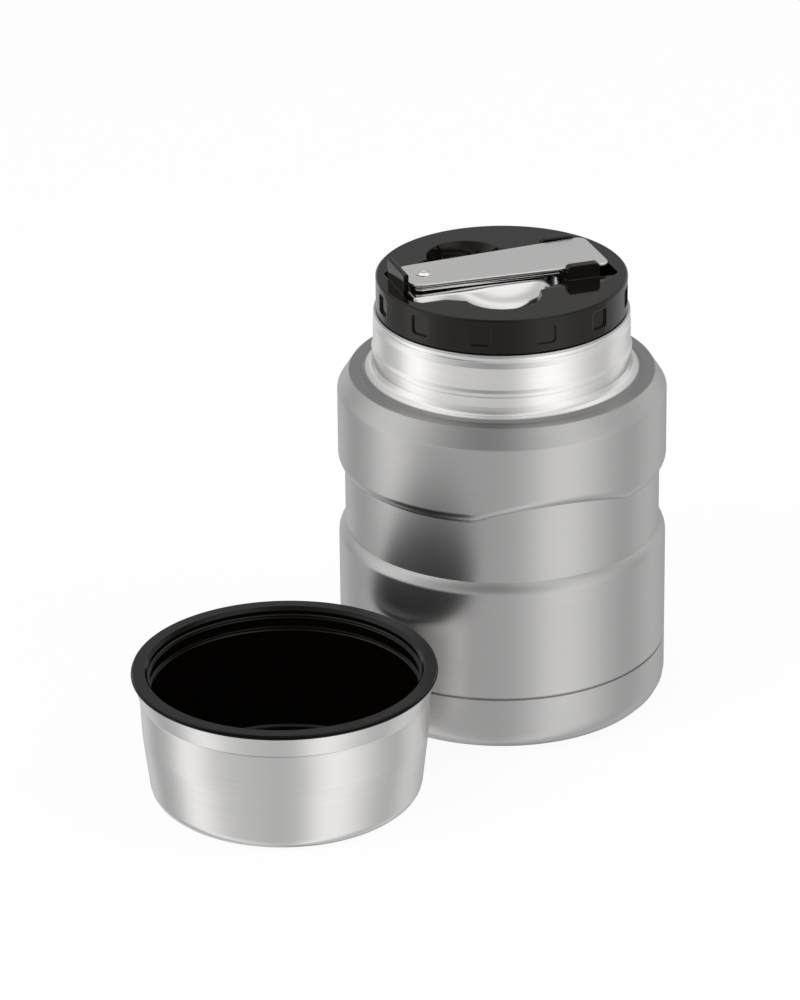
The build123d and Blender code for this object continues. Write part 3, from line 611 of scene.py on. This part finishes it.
# %% Threads of the plug and the mouth
MOUTH_R = 33.5
for start in range(STARTS):
    ridge = thread_ridge(start, PLUG_R, turns=0.55, start_z=103.2, depth=0.4, thickness=1.5)
    finish_piece(f"plug_thread_{start + 1}", ridge, plug_plastic, "stopper")
for start in range(STARTS):
    ridge = thread_ridge(start, MOUTH_R, turns=0.42, start_z=105.2, depth=-0.25, thickness=1.2)
    finish_piece(f"mouth_thread_{start + 1}", ridge, vessel_steel, "jar")

# %% [markdown]
# ## The gasket
#
# A silicone ring with two lips sits in the plug's groove and seals the mouth. A torus would miss
# the hollow between the lips, so the ring is spun from an outline like the other round pieces.

# %% Gasket
gasket = turned([
    (32.05, 113.05, 0.1), (33.0, 113.05, 0.3), (33.3, 113.7, 0.3), (32.8, 114.5, 0.3),
    (33.3, 115.3, 0.3), (33.0, 115.95, 0.3), (32.05, 115.95, 0.1),
])
finish_piece(
    "gasket", gasket, gasket_rubber, "stopper_seal", ["stopper_gasket"]
)

# %% [markdown]
# ## The spoon's bowl
#
# The bowl is pressed from sheet and lies with its back upwards. A squashed ball would be quicker,
# but it has no flat crown and no neck. A grid is shaped into a cage of stations along the spoon,
# thickened, and smoothed with a Subdivision Surface. That keeps the dome free of seams, which a
# polished surface would show.

# %% Stations along the bowl and a section across it
SHEET = 0.8
# place along the spoon, half width of the flat crown, half width, crown height, rim height
bowl_stations = [
    (-29.95, 9.2, 10.2, 126.2, 126.0),
    (-29.9, 9.6, 10.9, 129.0, 125.9),
    (-29.5, 9.7, 11.2, 129.5, 125.9),
    (-24.0, 9.8, 11.3, 129.55, 125.9),
    (-20.5, 10.2, 12.0, 129.6, 125.6),
    (-17.0, 10.9, 13.4, 129.7, 124.6),
    (-13.0, 11.2, 15.4, 129.8, 122.9),
    (-8.5, 10.4, 16.8, 129.85, 122.0),
    (-3.0, 9.6, 17.3, 129.85, 121.8),
    (3.0, 9.8, 16.7, 129.85, 121.8),
    (8.0, 9.4, 14.8, 129.75, 121.8),
    (12.0, 7.9, 12.4, 129.2, 121.8),
    (15.0, 5.6, 9.6, 127.9, 121.8),
    (16.8, 3.6, 6.8, 125.8, 121.8),
    (17.5, 2.0, 4.4, 123.6, 121.8),
    (17.7, 1.0, 2.6, 121.9, 121.8),
]
# from the middle outwards: the share of the way over the flat, over the flank, and down
bowl_section = [
    (0, 0, 0), (0.35, 0, 0), (0.7, 0, 0.002), (0.93, 0, 0.008), (1, 0.02, 0.025), (1, 0.17, 0.10),
    (1, 0.42, 0.235), (1, 0.66, 0.39), (1, 0.83, 0.54), (1, 0.94, 0.74), (1, 1, 1),
]
print("bowl:", len(bowl_stations), "stations of", 2 * len(bowl_section) - 1, "points")

# %% Bowl
def bowl_cage():
    """A grid whose rows follow the stations and whose columns follow the section."""
    bm = bmesh.new()
    rows, columns = len(bowl_stations) - 1, len(bowl_section) - 1
    bmesh.ops.create_grid(bm, x_segments=rows, y_segments=2 * columns, size=0.5)
    for vert in bm.verts:
        x, flat, half_width, crown, rim = bowl_stations[round((vert.co.x + 0.5) * rows)]
        over_flat, over_flank, down = bowl_section[round(abs(vert.co.y) * 2 * columns)]
        y = math.copysign(flat * over_flat + (half_width - flat) * over_flank, vert.co.y)
        vert.co = Vector((x, y, crown - (crown - rim) * down)) * MM
    return bm


bowl = as_object(bowl_cage(), "bowl")
sheet = bowl.modifiers.new("sheet", "SOLIDIFY")
sheet.thickness = SHEET * MM
sheet.offset = -1.0
smooth = bowl.modifiers.new("smooth", "SUBSURF")
smooth.levels = smooth.render_levels = 3
dress_piece(bowl, spoon_steel, "spoon", ["spoon_bowl"], keep_flats=False)

# %% [markdown]
# ## Handle, backing plate and rivet
#
# The handle is a flat blanked plate, rounded about the rivet and wider at its free end. Its edges
# are tumbled smooth, so a thin bright line runs round it. A bevelled box would have parallel sides
# and the same radius at every corner. A plate is drawn as an outline with a radius for each corner
# instead, filled, extruded and bevelled along its rims. The rivet is turned.

# %% Plates
LEVEL = 1e-6              # the ends of a level edge differ by less than this in height, in metres
RIM_ANGLE = 1.0           # a rim is an edge at which two faces meet at more than this, in radians


def blanked_plate(root, free, low, high, edge):
    """A plate that widens from its root to its free end. Each end is x, half width and radius."""
    (root_x, root_half, root_round), (free_x, free_half, free_round) = root, free
    corners = [
        (root_x, -root_half, root_round), (free_x, -free_half, free_round),
        (free_x, free_half, free_round), (root_x, root_half, root_round),
    ]
    bm = bmesh.new()
    draw_wire(bm, corners, [(x * MM, y * MM, low * MM) for x, y, _ in corners])
    bmesh.ops.contextual_create(bm, geom=bm.edges[:])
    raised = bmesh.ops.extrude_face_region(bm, geom=bm.faces[:])
    tops = [part for part in raised["geom"] if isinstance(part, bmesh.types.BMVert)]
    bmesh.ops.translate(bm, verts=tops, vec=(0, 0, (high - low) * MM))
    bmesh.ops.recalc_face_normals(bm, faces=bm.faces[:])
    level = [e for e in bm.edges if abs(e.verts[0].co.z - e.verts[1].co.z) < LEVEL]
    rims = [e for e in level if e.calc_face_angle(0) > RIM_ANGLE]
    bmesh.ops.bevel(
        bm, geom=rims, offset=edge * MM, segments=3, profile=0.5, affect="EDGES", material=-1
    )
    return bm


handle = blanked_plate((-29.3, 7.51, 3.5), (28.8, 10.63, 2.5), low=131.3, high=132.2, edge=0.22)
finish_piece(
    "handle_plate", handle, handle_steel, "spoon_handle", ["spoon_handle"]
)
backing = blanked_plate((-28.8, 7.02, 3.0), (15.8, 9.5, 2.0), low=130.1, high=130.8, edge=0.12)
finish_piece(
    "backing_plate", backing, spoon_steel, "spoon_handle", ["spoon_backing"]
)

# %% Rivet
RIVET_AT = (-23.3, 0.0)
rivet = turned([
    (0, 128.05), (2.8, 128.05, 0.3), (2.8, 128.75, 0.1), (1.6, 128.75), (1.6, 132.25, 0.02),
    (2.2, 132.25, 0.08), (2.15, 132.45, 0.15), (1.2, 132.85, 0.6), (0.62, 132.85, 0.3),
    (0.5, 132.0, 0.1), (0, 132.0),
], steps=48, centre=RIVET_AT)
finish_piece("rivet", rivet, rivet_steel, "spoon", ["spoon_rivet"])

# %% [markdown]
# ## The cup
#
# The cup is a steel shell with a black liner that snaps over its mouth as a broad rim. A fine
# groove runs round the steel a little way below the rim. Inside the mouth two black bands catch
# the jar's neck. Each is two ridges with a groove between them. The bands could be points of the
# liner's outline, but as pieces of their own they are easy to move.

# %% Cup shell and liner
cup_shell = turned([
    (0, 0), (37.9, 0, 4.6), (40.1, 19.0, 40.0), (40.6, 30.75, 0.1), (40.45, 30.95, 0.04),
    (40.75, 31.15, 0.1), (42.4, 37.1, 0.1), (41.8, 37.1, 0.1), (40.1, 31.0, 0.4),
    (39.5, 19.0, 40.0), (37.3, 0.6, 4.0), (0, 0.6),
], centre=CUP_AT)
finish_piece("cup_shell_steel", cup_shell, cup_steel, "cup", ["cup_shell"])
liner = turned([
    (0, 1.0), (34.6, 1.0, 3.0), (38.4, 31.0, 0.3), (39.2, 34.0, 0.3), (40.4, 37.1),
    (42.8, 37.1, 0.15), (42.9, 37.55, 0.1), (42.4, 37.7, 0.05), (42.4, 37.85, 0.05),
    (42.7, 38.0, 0.1), (42.45, 38.4, 0.2), (39.1, 38.4, 0.3), (38.25, 37.4, 0.4),
    (37.6, 30.0, 2.0), (35.3, 2.2, 2.4), (0, 2.2),
], centre=CUP_AT)
finish_piece("cup_liner_black", liner, cup_plastic, "cup", ["cup_liner"])

# %% Bands that catch the jar's neck
# how far a band's ridges and its groove stand proud of the liner, and how far its root goes in
RIDGE_PROUD, GROOVE_PROUD, ROOT_DEPTH = 0.45, 0.1, 0.4
# the lower and upper height of a band, and the radius of the liner behind it
beads = [(35.1, 36.1, 38.1), (31.3, 32.5, 37.75)]
for number, (low, high, wall_r) in enumerate(beads, start=1):
    proud, groove, root = wall_r - RIDGE_PROUD, wall_r - GROOVE_PROUD, wall_r + ROOT_DEPTH
    bead = turned([
        (root, low - 0.3, 0.05), (proud, low - 0.1, 0.1), (proud, low + 0.15, 0.15),
        (groove, low + 0.5, 0.05), (groove, high - 0.45, 0.05), (proud, high - 0.3, 0.1),
        (proud, high, 0.2), (root, high + 0.35, 0.05),
    ], centre=CUP_AT)
    finish_piece(f"cup_bead_{number}", bead, cup_plastic, "cup")

# %% [markdown]
# ## Pieces carried over from the CAD
#
# The stopper's top is one moulding: a deck and a short skirt with twelve finger grips, a recess
# shaped round the spoon, and three uprights that hold it. The CAD solid already has all of that
# exactly, so it is carried over. A real mould rounds every edge a little, and the plastic's shader
# does that here with a Bevel node. The pieces that are small or sealed inside also stay as the CAD
# made them, and need only a finish.

# %% Finishes of the carried-over nodes
carried = {
    "stopper_cap": deck_plastic,
    "middle_bottom": drawn_steel,
    "port_seal": seal_glass,
    "getter": getter_metal,
    "radiation_foil": foil_metal,
    "stopper_foam": foam,
    "spoon_spacer": spoon_steel,
    "spoon_washer": spoon_steel,
}
for node_name, material in carried.items():
    carried_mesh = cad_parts[node_name].data
    carried_mesh.materials.clear()
    carried_mesh.materials.append(material)
print("carried over:", sorted(carried))

# %% [markdown]
# ## Studio
#
# Satin steel shows its studio more than its own colour. Round the jar stand a bright panel on the
# left and a broad one on the right, with greyer stretches between them. They are painted into the
# world as two rings of brightness over the compass direction, one level with the jar and one above
# it, and a white panel hangs overhead. They cost no extra light and no noise.

# %% Brightness round the jar
CAMERA_AZIMUTH = math.radians(20.2)
UP = (0, 0, 1)
right = (math.cos(CAMERA_AZIMUTH), -math.sin(CAMERA_AZIMUTH), 0)
away = (math.sin(CAMERA_AZIMUTH), math.cos(CAMERA_AZIMUTH), 0)
# direction in degrees, 0 towards the camera and positive to its right, and brightness
walls = [
    (-180, 0.36), (-155, 0.72), (-140, 0.62), (-129, 0.42), (-116, 0.47), (-103, 0.60),
    (-100, 0.76), (-90, 1.04), (-80, 1.10), (-70, 0.96), (-60, 0.74), (-48, 0.64),
    (-35, 0.60), (-18, 0.56), (0, 0.52), (10, 0.57), (18, 0.66), (26, 0.90),
    (36, 1.06), (46, 1.06), (56, 1.0), (68, 0.81), (80, 0.64), (93, 0.52),
    (108, 0.48), (111, 0.62), (124, 0.72), (136, 0.68), (155, 0.5), (180, 0.36),
]
upper_walls = [
    (-180, 0.42), (-160, 0.44), (-130, 0.58), (-115, 0.72), (-100, 0.90), (-88, 1.02),
    (-76, 0.95), (-66, 0.76), (-56, 0.56), (-47, 0.45), (-36, 0.37), (-22, 0.28),
    (-8, 0.26), (4, 0.30), (14, 0.42), (24, 0.60), (34, 0.78), (44, 0.92),
    (54, 0.99), (62, 0.92), (70, 0.78), (80, 0.64), (92, 0.56), (104, 0.57),
    (116, 0.68), (128, 0.78), (145, 0.62), (160, 0.46), (180, 0.42),
]
print("stops round the jar:", len(walls), "and above it:", len(upper_walls))

# %% World helpers
world = bpy.data.worlds.new("studio")
bpy.context.scene.world = world
world.use_nodes = True
sky = world.node_tree
direction = add_node(sky, "ShaderNodeTexCoord").outputs["Generated"]


def along(axis):
    """The direction's share along an axis."""
    product = add_node(sky, "ShaderNodeVectorMath", operation="DOT_PRODUCT")
    feed(sky, product.inputs[0], direction)
    feed(sky, product.inputs[1], axis)
    return product.outputs["Value"]


def share_of_way(value, start, end):
    """How far a value has gone from a start to an end, eased, from 0 to 1."""
    made = add_node(sky, "ShaderNodeMapRange", interpolation_type="SMOOTHSTEP")
    feed(sky, made.inputs["Value"], value)
    feed(sky, made.inputs["From Min"], start)
    feed(sky, made.inputs["From Max"], end)
    return made.outputs["Result"]


def blended(factor, first, second):
    """One brightness giving way to another."""
    made = add_node(sky, "ShaderNodeMix", data_type="RGBA")
    for label, value in (("Factor", factor), ("A", first), ("B", second)):
        feed(sky, made.inputs[label], value)
    return made.outputs["Result"]


def round_the_compass(compass, stops):
    """A grey ramp over the compass direction."""
    made = add_node(sky, "ShaderNodeValToRGB")
    made.color_ramp.interpolation = "LINEAR"
    elements = made.color_ramp.elements
    while len(elements) < len(stops):
        elements.new(0.5)
    for element, (angle, value) in zip(elements, stops):
        element.position = (angle + 180) / 360
        element.color = (value, value, value, 1)
    feed(sky, made.inputs[0], compass)
    return made.outputs[0]


# %% The room that steel reflects
WHITE = (1.0, 1.0, 1.0, 1.0)
UPPER_RING = (0.0, 0.375)         # upward shares between which the upper ring takes over
PANEL_TILT = math.radians(65)     # how far up the overhead panel's middle is, beyond the jar
PANEL_EDGE = (0.819, 0.927)       # the cosines of 35 and 22 degrees, between which it fades in
compass = calculate(sky, "ARCTAN2", along(right), calculate(sky, "MULTIPLY", along(away), -1))
compass = calculate(sky, "ADD", calculate(sky, "DIVIDE", compass, 2 * math.pi), 0.5)
upper_share = share_of_way(along(UP), *UPPER_RING)
level_ring, upper_ring = round_the_compass(compass, walls), round_the_compass(compass, upper_walls)
room = blended(upper_share, level_ring, upper_ring)
overhead = [a * math.cos(PANEL_TILT) + u * math.sin(PANEL_TILT) for a, u in zip(away, UP)]
room = blended(share_of_way(along(overhead), *PANEL_EDGE), room, WHITE)
print("overhead panel towards:", [round(v, 2) for v in overhead])

# %% [markdown]
# Each kind of ray may see a world of its own. The camera sees plain white, and so does light that
# passes through glass. Reflections see the room. Matt surfaces get an even pale grey.

# %% What each kind of ray sees
EVEN_GREY = (0.8, 0.8, 0.8, 1)
rays = add_node(sky, "ShaderNodeLightPath").outputs
seen = calculate(sky, "MAXIMUM", rays["Is Camera Ray"], rays["Is Transmission Ray"])
studio = blended(rays["Is Glossy Ray"], EVEN_GREY, room)
feed(sky, sky.nodes["Background"].inputs["Color"], blended(seen, studio, WHITE))
print("nodes in the world:", len(sky.nodes))

# %% [markdown]
# ## Floor
#
# The floor is a wide pale sheet. It mixes its own white into what the camera sees, so that it
# stays pale without more light on the jar and still keeps a soft shadow.

# %% Floor
FLOOR_GREY = (0.86, 0.86, 0.86, 1)
FLOOR_HALF_SIDE = 6.0
OWN_WHITE = 0.93                  # the share of its own white that the camera sees
floor_mesh = bmesh.new()
bmesh.ops.create_grid(floor_mesh, x_segments=1, y_segments=1, size=FLOOR_HALF_SIDE)
floor = as_object(floor_mesh, "floor")
floor_finish, tree, shader, _ = new_finish("pale floor")
shader.inputs["Base Color"].default_value = FLOOR_GREY
shader.inputs["Roughness"].default_value = 0.9
shader.inputs["Specular IOR Level"].default_value = 0.0
glow = add_node(tree, "ShaderNodeEmission")
mixer = add_node(tree, "ShaderNodeMixShader")
sight = add_node(tree, "ShaderNodeLightPath").outputs["Is Camera Ray"]
feed(tree, mixer.inputs[0], calculate(tree, "MULTIPLY", sight, OWN_WHITE))
feed(tree, mixer.inputs[1], shader.outputs[0])
feed(tree, mixer.inputs[2], glow.outputs[0])
feed(tree, tree.nodes["Material Output"].inputs["Surface"], mixer.outputs[0])
floor.data.materials.append(floor_finish)
floor.visible_glossy = False
floor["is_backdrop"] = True

# %% [markdown]
# ## Lamps
#
# Two soft boxes hang above and in front of the jar, one on each side. They light the matt surfaces
# and draw the soft shadows. Steel doesn't reflect them, because the room above already holds its
# bright panels.

# %% Lamps
LAMP_AIM = Vector((0, 0, 0.06))
LAMP_SIZE = 0.6


def soft_box(name, place, power):
    """A square area lamp aimed at the jar."""
    data = bpy.data.lights.new(name, "AREA")
    data.shape = "SQUARE"
    data.size = LAMP_SIZE
    data.energy = power
    lamp = bpy.data.objects.new(name, data)
    bpy.context.scene.collection.objects.link(lamp)
    lamp.location = place
    lamp.rotation_euler = (LAMP_AIM - Vector(place)).to_track_quat("-Z", "Y").to_euler()
    lamp.visible_glossy = False
    print(f"{name}: {power} W")


soft_box("left softbox", (-0.75, -0.35, 0.8), power=4.0)
soft_box("right softbox", (0.65, -0.5, 0.7), power=3.0)

# %% [markdown]
# ## Camera
#
# A long lens looks down on the jar from the front and a little to the left of it. The camera is
# first aimed at a point on the jar's axis and then turned a little to the side, so that the cup on
# the left is in the frame too.

# %% Camera
PITCH = math.radians(24.64)
DISTANCE, AIM_HEIGHT = 1.5923, 0.05854
SIDE_TURN = math.radians(1.058)
ROLL = math.radians(0.116)
LENS_MM, SENSOR_MM = 199.0, 36
camera_data = bpy.data.cameras.new("camera")
camera_data.sensor_width = SENSOR_MM
camera_data.lens = LENS_MM
camera_data.clip_start, camera_data.clip_end = 0.05, 50
camera = bpy.data.objects.new("camera", camera_data)
bpy.context.scene.collection.objects.link(camera)
aim = Vector((0, 0, AIM_HEIGHT))
forward = Vector((away[0] * math.cos(PITCH), away[1] * math.cos(PITCH), -math.sin(PITCH)))
camera.location = aim - forward * DISTANCE
turn_to_aim = forward.to_track_quat("-Z", "Y").to_matrix()
side = Matrix.Rotation(SIDE_TURN, 3, "Y")
roll = Matrix.Rotation(-ROLL, 3, "Z")
camera.rotation_euler = (turn_to_aim @ side @ roll).to_euler()
bpy.context.scene.camera = camera
bpy.context.scene.view_settings.view_transform = "Standard"
print("camera at:", [round(v, 3) for v in camera.location])

# %% [markdown]
# ## Measure and finish
#
# The dressed model's box is measured and printed.

# %% Sizes
low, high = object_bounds()
print("visual box:", [round(v, 4) for v in low], [round(v, 4) for v in high])
